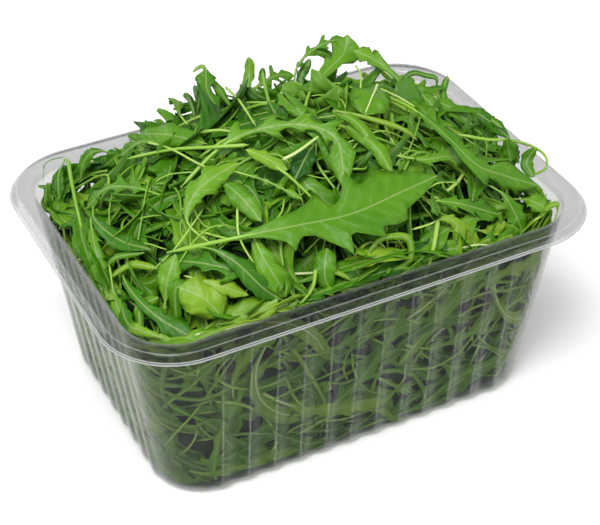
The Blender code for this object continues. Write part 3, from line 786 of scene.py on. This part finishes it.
# leaves that stand out: kind, tone from 0, deep green, to 1, yellow green, width, roll in degrees,
# and points as (x, y, lift above the mound) in millimetres from the stalk to the tip
leadingLeaves = {
    "bigToothed": ("big", 0.55, 1.0, 0, ((-62, -27, 4), (-42, -38, 7), (-22, -44, 9), (-2, -46, 9),
        (18, -44, 9), (35, -40, 8))),
    "rightLong": ("toothed", 0.50, 0.62, -8, ((36, 2, 5), (40, -14, 9), (46, -28, 10), (53, -37, 10),
        (66, -37, 10), (80, -39, 9))),
    "backPeak": ("toothed", 0.62, 0.92, 0, ((0, -5, 2), (12, 12, 3), (21, 22, 5), (30, 29, 9),
        (38, 34, 15), (42, 38, 24))),
    "topArc": ("lobed", 0.50, 0.62, 15, ((17, 34, 0), (20, 38, 10), (27, 40, 17), (35, 40, 21),
        (42, 40, 23))),
    "topArcFoot": ("tongue", 0.35, 1.3, 0, ((21, 34, -1), (22, 38, 6), (27, 40, 14))),
    "topArcSide": ("tongue", 0.52, 1.5, 0, ((27, 41, 18), (33, 40, 16), (38, 38, 11))),
    "leftPeak": ("toothed", 0.42, 1.0, 10, ((-24, 6, 2), (-18, 28, 4), (-18, 35, 11), (-16, 40, 20))),
    "leftPeakTwo": ("tongue", 0.55, 1.1, 25, ((-12, 26, 0), (-12, 34, 6), (-13, 39, 12), (-15, 42, 15))),
    "peakCurl": ("strip", 0.75, 3.0, 0, ((-16, 38, 12), (-16, 40, 19), (-17, 42, 22), (-20, 43, 21))),
    "sprigLeft": ("strip", 0.20, 4.0, 0, ((-21, 38, 3), (-22, 41, 10), (-24, 43, 14))),
    "sprigUp": ("strip", 0.25, 3.4, 0, ((-22, 36, 2), (-20, 38, 9), (-19, 40, 16))),
    "backTuft": ("plain", 0.68, 1.3, 30, ((-31, 17, 0), (-30, 34, 7), (-26, 44, 12), (-27, 50, 14))),
    "darkSprig": ("strip", 0.20, 2.2, 0, ((-28, 24, 5), (-24, 38, 10), (-23, 46, 14))),
    "roundTip": ("tongue", 0.72, 1.1, 0, ((-5, 34, 0), (-1, 38, 7), (2, 41, 13), (3, 43, 20))),
    "stub": ("tongue", 0.45, 1.8, 0, ((8, 44, 6), (9, 45, 10), (10, 46, 15))),
    "backArch": ("lobed", 0.60, 0.9, 10, ((-8, 28, 0), (-2, 33, 4), (6, 37, 7), (14, 41, 9), (21, 42, 8))),
    "archedMiddle": ("lobed", 0.60, 0.65, 10, ((-48, -8, 2), (-28, -5, 6), (-7, -10, 7), (5, -21, 7),
        (1, -35, 3))),
    "leftPale": ("plain", 0.70, 1.6, 0, ((-48, -33, 2), (-53, -25, 6), (-48, -19, 7), (-39, -17, 7),
        (-29, -15, 5))),
    "hangingLobe": ("spoon", 0.52, 0.55, 0, ((-37, -4, 0), (-37, -16, 4), (-34, -27, 5), (-31, -36, 4))),
    "leftCurve": ("lobed", 0.50, 1.0, 0, ((-54, -6, 2), (-60, 3, 5), (-67, 14, 6), (-73, 20, 2))),
    "leftArc": ("plain", 0.28, 1.15, 0, ((-70, 20, 2), (-75, 6, 6), (-73, -12, 7), (-66, -23, 5))),
    "leftToothed": ("toothed", 0.55, 1.2, 0, ((-75, 10, 5), (-78, 1, 7), (-80, -8, 6), (-81, -16, 2))),
    "lowLeft": ("toothed", 0.35, 0.9, 0, ((-74, -10, 0), (-76, -26, 5), (-72, -40, 6), (-62, -52, 0))),
    "leftBright": ("plain", 0.62, 1.7, 0, ((-78, -14, 5), (-81, -26, 5), (-81, -38, 2))),
    "limeWave": ("strip", 0.88, 3.2, 0, ((-79, -17, 4), (-73, -22, 6), (-66, -29, 4))),
    "leftHook": ("strip", 0.50, 3.2, 0, ((-79, -12, 3), (-76, -16, 7), (-68, -22, 5))),
    "leftDrop": ("plain", 0.35, 2.4, 20, ((-68, 54, 13), (-73, 49, 10), (-76, 42, 4))),
    "backLeftArch": ("plain", 0.40, 1.7, 0, ((-51, 48, 6), (-54, 49, 13), (-59, 50, 15), (-63, 50, 11),
        (-65, 48, 6))),
    "archDrop": ("tongue", 0.35, 2.4, 0, ((-53, 50, 14), (-52, 48, 7), (-53, 47, -1))),
    "broadBack": ("tongue", 0.56, 1.5, 0, ((-32, 4, 2), (-41, 16, 6), (-46, 32, 7))),
    "crinkled": ("lobed", 0.48, 1.3, 0, ((-42, 14, 3), (-49, 23, 7), (-55, 30, 5))),
    "spoonLeaf": ("spoon", 0.86, 1.55, 0, ((-56, -48, 0), (-53, -51, 5), (-57, -46, 8), (-63, -39, 7))),
    "spoonRight": ("tongue", 0.84, 1.9, 0, ((-57, -48, 0), (-52, -50, 4), (-44, -53, 5), (-34, -54, 4))),
    "limeBlade": ("plain", 0.85, 1.8, 0, ((-60, -36, 4), (-52, -44, 5), (-43, -50, 4))),
    "darkBlade": ("plain", 0.25, 1.5, 0, ((-55, -30, 3), (-50, -36, 6), (-44, -44, 7), (-38, -51, 5),
        (-32, -54, 2))),
    "leftSmall": ("plain", 0.70, 2.6, 0, ((-69, -39, 1), (-66, -35, 5), (-60, -30, 5))),
    "leftRing": ("strip", 0.50, 5.0, 0, ((-66, -42, 3), (-64, -38, 6), (-60, -41, 4), (-63, -45, 2))),
    "cornerHook": ("strip", 0.60, 6.0, 0, ((-78, -39, 1), (-75, -33, 6), (-69, -35, 4))),
    "darkMiddle": ("plain", 0.05, 2.6, 0, ((4, -12, 0), (-5, -20, 3), (-14, -27, 2))),
    "zigzag": ("lobed", 0.66, 0.55, 0, ((-32, -17, 5), (-24, -27, 6), (-15, -35, 4))),
    "yellowStrip": ("strip", 0.90, 1.3, 20, ((12, -8, 6), (21, -17, 8), (31, -22, 7), (37, -23, 3))),
    "paleStrip": ("strip", 0.70, 3.4, 0, ((12, -6, 5), (16, -18, 7), (18, -31, 5))),
    "rightStrip": ("strip", 0.70, 5.5, 0, ((13, -14, 4), (17, -27, 7), (19, -36, 6))),
    "ribbedRight": ("tongue", 0.52, 1.5, 0, ((31, 10, 3), (27, 0, 8), (20, -9, 6))),
    "ribRight": ("plain", 0.72, 1.3, 15, ((50, 42, 18), (53, 40, 16), (57, 38, 12), (63, 32, 5))),
    "limeCrest": ("tongue", 0.80, 1.2, 0, ((54, 43, 15), (54, 44, 20), (53, 46, 25))),
    "darkTip": ("tongue", 0.30, 1.2, 0, ((61, 43, 15), (59, 45, 21), (58, 46, 26))),
    "limeStrip": ("strip", 0.85, 6.0, 0, ((48, 37, 8), (50, 33, 3), (47, 30, -1), (43, 28, -3))),
    "ribLeaf": ("tongue", 0.58, 3.0, 0, ((34, 1, 8), (27, -8, 10), (20, -15, 8))),
    "backRib": ("toothed", 0.62, 1.1, 0, ((54, 3, 2), (50, 14, 8), (45, 23, 13), (40, 30, 16))),
    "sage": ("tongue", 0.60, 1.9, 0, ((-1, 10, 7), (-2, 3, 10), (-2, -3, 10), (-1, -8, 7))),
    "limeFold": ("tongue", 0.80, 1.3, 0, ((-25, -12, 6), (-22, -20, 8), (-16, -26, 6))),
    "curledTip": ("strip", 0.45, 2.2, 0, ((61, 27, 5), (65, 32, 11), (70, 34, 16), (75, 34, 19),
        (79, 33, 17), (79, 32, 13))),
    "finger": ("strip", 0.45, 4.0, 0, ((65, 1, 2), (67, 9, 9), (72, 14, 17))),
    "rightBack": ("plain", 0.30, 1.5, 0, ((68, 10, 5), (74, 1, 9), (79, -6, 11), (86, -10, 11))),
    "rightSprig": ("strip", 0.50, 4.0, 0, ((71, 5, 5), (77, -1, 11), (82, -10, 14))),
    "broadRight": ("plain", 0.55, 2.0, 0, ((51, 17, 4), (53, 6, 7), (57, -4, 4))),
    "broadLow": ("plain", 0.58, 1.7, 0, ((50, 5, 3), (60, -2, 7), (70, -8, 5))),
    "archFinger": ("tongue", 0.50, 2.4, 0, ((74, -24, 15), (76, -23, 11), (77, -24, 7))),
    "archFingerTwo": ("tongue", 0.45, 1.7, 0, ((80, -22, 16), (82, -19, 12), (84, -20, 7))),
    "archFingerThree": ("tongue", 0.48, 1.8, 0, ((86, -27, 17), (84, -26, 14), (82, -27, 11),
        (82, -32, 8))),
    "rightTop": ("toothed", 0.66, 1.3, 0, ((24, -27, 2), (33, -34, 7), (42, -33, 7), (52, -30, 4))),
    "rightMiddle": ("toothed", 0.45, 1.2, 0, ((27, -43, 3), (40, -47, 7), (58, -46, 5))),
    "cornerCurl": ("plain", 0.52, 2.4, 0, ((57, -36, 2), (62, -42, 8), (65, -47, 5), (66, -51, -1))),
    "cornerPale": ("plain", 0.72, 3.4, 0, ((69, -38, 4), (72, -45, 9), (76, -51, 7))),
    "cornerHookRight": ("strip", 0.92, 2.6, 0, ((72, -50, 2), (74, -50, 6), (77, -51, 9), (79, -52, 9),
        (79, -54, 6), (77, -57, 2))),
    "limeTip": ("plain", 0.95, 2.2, 0, ((43, -50, 3), (51, -51, 6), (60, -47, 5))),
    "frontArc": ("plain", 0.82, 1.2, 0, ((19, -50, 3), (26, -51, 6), (32, -51, 8), (37, -52, 7),
        (37, -54, 4), (33, -55, 1))),
    "frontLadder": ("strip", 0.88, 4.5, 0, ((36, -52, 7), (34, -56, 5), (26, -58, 3))),
    "frontBlade": ("strip", 0.85, 7.0, 0, ((38, -51, 6), (42, -54, 7), (42, -58, 2))),
    "frontRing": ("strip", 0.78, 1.8, 0, ((0, -53, 3), (5, -52, 6), (10, -53, 8), (14, -54, 9),
        (16, -55, 8), (15, -57, 6), (10, -57, 3), (4, -57, 1))),
    "frontRight": ("lobed", 0.55, 0.9, 0, ((72, -36, 0), (56, -46, 4), (38, -50, 4), (20, -53, 0))),
    "frontLow": ("lobed", 0.35, 0.9, 0, ((-24, -55, -1), (-38, -48, 3), (-52, -38, 4), (-64, -24, 0))),
    "oliveBroad": ("tongue", 0.66, 1.8, 0, ((-35, -38, 3), (-35, -45, 5), (-33, -51, 5), (-31, -54, 3))),
    "limeFront": ("plain", 0.86, 2.4, 0, ((-40, -53, 2), (-35, -56, 4), (-28, -56, 4))),
    "greenUp": ("tongue", 0.52, 2.2, 0, ((-15, -56, 0), (-17, -55, 5), (-16, -53, 6), (-13, -49, 4))),
    "palePiece": ("strip", 0.80, 4.5, 0, ((-16, -54, 6), (-12, -56, 7), (-8, -57, 5))),
    "rimGreen": ("plain", 0.66, 1.4, 0, ((-48, -50, -1), (-40, -54, 3), (-30, -56, 3), (-20, -56, -1))),
    "rimGreenTwo": ("lobed", 0.70, 0.8, 0, ((-27, -55, -1), (-16, -57, 4), (-8, -58, 4), (3, -57, 0))),
    "rimGreenThree": ("plain", 0.70, 1.5, 0, ((5, -57, -1), (14, -58, 4), (27, -58, 4), (40, -55, 0))),
    "rimGreenFour": ("lobed", 0.72, 0.8, 0, ((36, -55, 0), (47, -58, 4), (60, -58, 4), (74, -52, 0))),
    "cornerGreen": ("plain", 0.72, 1.5, 0, ((-76, -36, 0), (-71, -50, 3), (-60, -55, 3), (-49, -55, 0))),
}
# bare stems and cut stalks: tone, thickness and points
leadingStems = {
    "leftStem": (0.50, 1.5, ((-67, 55, 12), (-73, 33, 10), (-79, 9, 6))),
    "leftTendril": (0.10, 0.6, ((-68, 55, 13), (-75, 56, 12), (-79, 55, 6))),
    "limeStem": (0.60, 1.3, ((-23, -11, 6), (-34, -4, 7), (-45, 7, 7), (-56, 22, 6))),
    "paleStem": (0.80, 0.9, ((-48, 24, 6), (-45, 8, 7), (-41, -5, 6), (-36, -14, 4))),
    "backStem": (0.70, 1.2, ((-13, 30, 10), (-15, 14, 8), (-16, -2, 5))),
    "thickStem": (0.65, 1.7, ((-34, 8, 6), (-28, 2, 7), (-21, -4, 5))),
    "cutStalk": (0.90, 1.8, ((-16, -22, 6), (-9, -22, 8), (-1, -20, 9))),
    "limeMiddle": (0.55, 1.5, ((-24, -14, 5), (-18, -26, 7), (-11, -36, 4))),
    "backCutStem": (0.40, 1.8, ((-3, 14, 2), (1, 26, 7), (4, 34, 12))),
    "topArcStem": (0.80, 1.2, ((34, 18, 11), (32, 10, 10), (28, 3, 6))),
    "rightArch": (0.55, 1.1, ((56, -17, 3), (66, -24, 10), (76, -23, 15), (85, -24, 17), (87, -31, 16),
        (85, -35, 13), (81, -32, 9))),
    "ribStem": (0.95, 1.3, ((50, 42, 18), (56, 38, 13), (62, 32, 6))),
    "ribPale": (0.92, 1.2, ((34, 1, 10), (27, -8, 11), (20, -15, 9))),
    "longRib": (0.82, 1.2, ((36, 3, 7), (38, -6, 9), (41, -14, 10))),
    "frontStalk": (0.70, 2.4, ((29, -51, 8), (24, -56, 6), (20, -58, 1))),
    "frontStalkTwo": (0.62, 2.0, ((-20, -54, 8), (-23, -56, 6), (-28, -56, 2))),
    "thinRight": (0.60, 1.0, ((26, -44, 7), (34, -42, 8), (44, -41, 7))),
    "crossingStem": (0.75, 1.1, ((-37, -30, 6), (-40, -39, 6), (-36, -49, 3))),
}
scatter = {
    "seed": 11,
    "topLeaves": 260,
    "rimLeaves": 60,
    "wallLeaves": 275,
    "baseLeaves": 36,
    "crestLeaves": 26,
    "topStems": 80,
    "wallStems": 90,
    "faceForward": (-0.25, -0.50, 0.85),
    "toneSpread": 0.19,
    "deepestTone": 0.20,
    "topReach": (77, 54),       # millimetres from the middle, for leaves' middles and for their ends
    "stemReach": (76, 53),
    "topLimit": (81, 56),
    "baseReach": (66, 44),
    "baseLimit": (71, 48),
}
evenReach, evenTurn = 0.56984, 0.75488      # steps that spread places evenly in two directions
goldenAngle = math.pi * (3 - math.sqrt(5))


def addLeadingLeaves():
    for index, (kind, tone, width, roll, points) in enumerate(leadingLeaves.values()):
        line = [onHeap(*point) for point in points]
        addLeaf(kind, line, scatter["faceForward"], random.Random(index), roll, 0, tone, keel=0.25,
                curl=-0.25, width=width, fine=True)
    for tone, thick, points in leadingStems.values():
        line = [onHeap(*point) for point in points]
        addStalk(line, (0, 0, 1), tone=tone, reach=1.0, thick=thick, taper=0.3)


def spreadOut(angle, size):
    return Vector((math.cos(angle) * size[0], math.sin(angle) * size[1]))


def keepWithin(spot, limit):
    spot.x = clamp(spot.x, -limit[0], limit[0])
    spot.y = clamp(spot.y, -limit[1], limit[1])
    return spot


def someTone(draw, middle):
    return clamp(draw.gauss(middle, scatter["toneSpread"]), scatter["deepestTone"], 1.0)


def addTopLeaves():
    # crossing leaves over the whole mound, deep ones first and loose arched ones last
    draw = random.Random(scatter["seed"])
    count = scatter["topLeaves"]
    for k in range(count):
        reach = math.sqrt((k * evenReach) % 1.0)
        turn = 2 * math.pi * evenTurn * k
        middle = spreadOut(turn, scatter["topReach"]) * reach
        course = draw.uniform(0, 2 * math.pi)
        bend = draw.uniform(-1.2, 1.2)
        half = draw.uniform(19, 40)
        depth = -11.0 + 9.5 * k / count
        arch = draw.uniform(0, 5)
        loose = draw.random() < 0.25 and middle.y > -15
        if middle.y < -15:
            depth -= 2.0
        points = []
        for step in range(5):
            share = step / 4 * 2 - 1
            angle = course + bend * share
            spot = keepWithin(middle + heading(angle) * half * share, scatter["topLimit"])
            lift = depth + draw.uniform(-1.5, 1.5) + arch * (1 - share * share)
            if step == 0:
                lift -= 5.0
            if step == 4 and loose:
                lift += draw.uniform(4, 10)
            points.append(onHeap(spot.x, spot.y, lift))
        kind = draw.choices(("lobed", "toothed", "plain", "tongue", "strip"), (42, 28, 12, 6, 12))[0]
        tilt = (draw.uniform(-0.9, 0.9), draw.uniform(-0.9, 0.9), 1.0)
        addLeaf(kind, points, tilt, draw, draw.uniform(-35, 35), draw.uniform(-110, 110),
                someTone(draw, 0.50), keel=draw.uniform(-0.3, 0.8), curl=draw.uniform(-1.1, 1.1),
                width=draw.uniform(0.60, 1.0) * (0.7 if kind == "tongue" else 1.0))


def addCrestLeaves():
    # short leaves that stand up along the back of the mound
    draw = random.Random(scatter["seed"] + 5)
    count = scatter["crestLeaves"]
    for k in range(count):
        x = -62 + 130 * (k + draw.uniform(0.2, 0.8)) / count
        lean = draw.uniform(-12, 12)
        rise = draw.uniform(3, 11)
        points = []
        for step in range(4):
            share = step / 3
            y = draw.uniform(29, 33) + 17 * share
            points.append(onHeap(x + lean * share * share, y, -4 + (rise + 4) * share))
        kind = draw.choices(("tongue", "toothed", "lobed", "plain"), (4, 4, 5, 2))[0]
        width = draw.uniform(0.9, 1.3) * (0.65 if kind == "tongue" else 1.0)
        addLeaf(kind, points, (-0.2, -0.9, 0.4), draw, draw.uniform(-50, 50), draw.uniform(-60, 60),
                someTone(draw, 0.58), keel=draw.uniform(-0.2, 0.7), curl=draw.uniform(-0.8, 0.8), width=width)


def addRimLeaves():
    # leaves round the foot of the mound, that lean against the wall just below the rim
    draw = random.Random(scatter["seed"] + 1)
    count = scatter["rimLeaves"]
    for k in range(count):
        turn = 4 * (k + draw.uniform(0.2, 0.8)) / count
        swing = draw.choice((-1, 1)) * draw.uniform(0.10, 0.26)
        points = []
        for step in range(4):
            inset = (14, 8, 5, 4)[step] + draw.uniform(-1, 2)
            halfSizes = (half - inset * mm for half in wallHalfTop)
            spot, _ = outlinePoint(*halfSizes, tubForm["wallRadius"], turn + swing * (step / 1.5 - 1))
            lift = (-4, 2, 5, 5)[step] + draw.uniform(-2.5, 2.5)
            if spot.y < 0:
                lift -= 2.5
            points.append(onHeap(spot.x / mm, spot.y / mm, lift))
        kind = draw.choices(("lobed", "toothed", "plain"), (5, 2, 4))[0]
        tilt = (draw.uniform(-0.7, 0.7), draw.uniform(-0.7, 0.7), 1.0)
        addLeaf(kind, points, tilt, draw, draw.uniform(-40, 40), draw.uniform(-60, 60), someTone(draw, 0.52),
                keel=draw.uniform(-0.2, 0.5), curl=draw.uniform(-0.5, 0.5), width=0.9)


def addWallLeaves():
    # leaves pressed against the clear walls in several layers, all the way round
    draw = random.Random(scatter["seed"] + 2)
    count = scatter["wallLeaves"]
    for k in range(count):
        turn = 4 * ((k * evenReach) % 1.0)
        height = (2 + 74 * ((k * evenTurn) % 1.0) ** 1.1) * mm
        depth = (5.2, 3.6, 2.2)[3 * k // count] * mm
        points, face = wallPath(draw, turn, height, draw.uniform(20, 38) * mm, depth)
        face *= draw.choice((1, 1, -1))
        kind = draw.choices(("lobed", "toothed", "plain", "tongue", "strip"), (38, 20, 22, 8, 12))[0]
        # painted light and shade: the tone rises with height, lighter near the open top where light comes in
        # and darker low down
        addLeaf(kind, points, face, draw, draw.uniform(-40, 40), draw.uniform(-60, 60),
                someTone(draw, 0.48 + 0.40 * height / rimHeight), keel=draw.uniform(-0.3, 0.3),
                curl=draw.uniform(-0.4, 0.4), wave=0.7,
                width=draw.uniform(0.65, 1.05) * (0.6 if kind == "tongue" else 1.0))


def wallPath(draw, turn, height, half, depth):
    # a gentle arc at a steady depth behind the wall, and the way the wall faces there
    slope = draw.choice((-1, 1)) * draw.uniform(0.1, 1.25) * min(1.0, 0.1 + height / (22 * mm))
    bend = draw.uniform(-0.6, 0.6)
    points = []
    for step in range(5):
        share = step / 4 * 2 - 1
        angle = slope + bend * share
        z = height + half * math.sin(angle) * share
        z = clamp(z, 2.4 * mm, rimHeight - 2.5 * mm)
        halfX, halfY = wallHalfSizes(z)
        quarter = quarterLength(halfX, halfY, tubForm["wallRadius"])
        inset = depth + 1.5 * mm * share * share
        spot, normal = outlinePoint(halfX - inset, halfY - inset, tubForm["wallRadius"] - inset,
                                    turn + half * math.cos(angle) * share / quarter)
        points.append(Vector((spot.x, spot.y, z)))
        if step == 2:
            face = Vector((normal.x, normal.y, 0.1))
    return points, face


def addBareStems():
    draw = random.Random(scatter["seed"] + 4)
    for k in range(scatter["topStems"]):
        reach = math.sqrt((k * evenReach + 0.3) % 1.0)
        turn = 2 * math.pi * evenTurn * k
        middle = spreadOut(turn, scatter["stemReach"]) * reach
        course = draw.uniform(0, 2 * math.pi)
        bend = draw.uniform(-1.0, 1.0)
        half = draw.uniform(9, 24)
        points = []
        for step in range(4):
            share = step / 1.5 - 1
            angle = course + bend * share
            spot = keepWithin(middle + heading(angle) * half * share, scatter["topLimit"])
            points.append(onHeap(spot.x, spot.y, (-4, 1, 2, -3)[step] + draw.uniform(-2, 3)))
        addStalk(points, (0, 0, 1), tone=draw.uniform(0.2, 0.8), reach=1.0, thick=draw.uniform(0.6, 1.3),
                 taper=0.4)
    for k in range(scatter["wallStems"]):
        turn = 4 * ((k * evenReach + 0.5) % 1.0)
        height = (8 + 60 * ((k * evenTurn + 0.5) % 1.0)) * mm
        half, depth = draw.uniform(14, 32) * mm, draw.choice((1.9, 3.0)) * mm
        points, face = wallPath(draw, turn, height, half, depth)
        addStalk(points, face, tone=draw.uniform(0.4, 0.9), reach=1.0, thick=draw.uniform(0.8, 1.3),
                 taper=0.4)


def addBaseLeaves():
    # leaves that lie on the tub's floor, seen from below
    draw = random.Random(scatter["seed"] + 3)
    count = scatter["baseLeaves"]
    for k in range(count):
        reach = math.sqrt((k + 0.5) / count)
        middle = spreadOut(k * goldenAngle, scatter["baseReach"]) * reach
        course = draw.uniform(0, 2 * math.pi)
        ahead = heading(course) * draw.uniform(18, 30)
        points = []
        for step in range(3):
            spot = keepWithin(middle + ahead * (step - 1), scatter["baseLimit"])
            points.append(Vector((spot.x * mm, spot.y * mm, (2.2 + draw.uniform(0, 2.5)) * mm)))
        kind = draw.choice(("lobed", "toothed", "plain"))
        addLeaf(kind, points, (0, 0, -1), draw, tone=someTone(draw, 0.5), keel=0.05, wave=0.3)


# stage, lights and camera
studio = {
    "skyStrength": 0.60,
    "keyPower": 8.8,
    "lampSize": 0.45,
    "keyPlace": (-0.35, -0.35, 0.95),
    "fillPower": 2.2,
    "fillPlace": (0.65, -0.70, 0.50),
    "backPower": 2.6,
    "backPlace": (-0.65, 0.80, 0.45),
}
cameraPlace = {
    "azimuth": -26.79,
    "elevation": 37.01,
    "roll": -0.65,
    "distance": 619.9 * mm,
    "target": (3.66 * mm, 4.37 * mm, 43.71 * mm),
    "lens": 97.96,
    "sensorWidth": 36.0,
}


def addLight(name, place, power):
    lamp = bpy.data.lights.new(name, "AREA")
    lamp.shape = "DISK"
    lamp.size = studio["lampSize"]
    lamp.energy = power
    light = bpy.data.objects.new(name, lamp)
    bpy.context.scene.collection.objects.link(light)
    light.location = place
    light.rotation_mode = "QUATERNION"
    light.rotation_quaternion = (-Vector(place) + Vector((0, 0, 0.06))).to_track_quat("-Z", "Y")


def makeStage():
    bm = bmesh.new()
    bmesh.ops.create_grid(bm, x_segments=1, y_segments=1, size=3.0)
    material, tree = newMaterial("paleFloor")
    body = addBody(tree, (0.95, 0.95, 0.95, 1.0), 0.9, 0.0)
    finishMaterial(tree, body.outputs[0])
    mesh = bpy.data.meshes.new("floor")
    bm.to_mesh(mesh)
    bm.free()
    mesh.materials.append(material)
    floor = bpy.data.objects.new("floor", mesh)
    floor.location.z = -0.2 * mm
    bpy.context.scene.collection.objects.link(floor)
    world = bpy.data.worlds.new("studio")
    world.use_nodes = True
    world.node_tree.nodes["Background"].inputs[0].default_value = (1.0, 1.0, 1.0, 1.0)
    world.node_tree.nodes["Background"].inputs[1].default_value = studio["skyStrength"]
    bpy.context.scene.world = world
    for name in ("key", "fill", "back"):
        addLight(name, studio[name + "Place"], studio[name + "Power"])
    bpy.context.scene.view_settings.view_transform = "Standard"
    bpy.context.scene.view_settings.look = "None"


def makeCamera():
    azimuth, elevation = (math.radians(cameraPlace[key]) for key in ("azimuth", "elevation"))
    back = Vector((
        math.sin(azimuth) * math.cos(elevation),
        -math.cos(azimuth) * math.cos(elevation),
        math.sin(elevation),
    ))
    lens = bpy.data.cameras.new("camera")
    lens.lens = cameraPlace["lens"]
    lens.sensor_width = cameraPlace["sensorWidth"]
    camera = bpy.data.objects.new("camera", lens)
    bpy.context.scene.collection.objects.link(camera)
    camera.location = Vector(cameraPlace["target"]) + back * cameraPlace["distance"]
    camera.rotation_mode = "QUATERNION"
    roll = Quaternion((0, 0, 1), math.radians(cameraPlace["roll"]))
    camera.rotation_quaternion = (-back).to_track_quat("-Z", "Y") @ roll
    bpy.context.scene.camera = camera


makeStage()
makeCamera()
makeTub()
makeCore()
addLeadingLeaves()
addTopLeaves()
addCrestLeaves()
addRimLeaves()
addWallLeaves()
addBaseLeaves()
addBareStems()
finishLeaves()
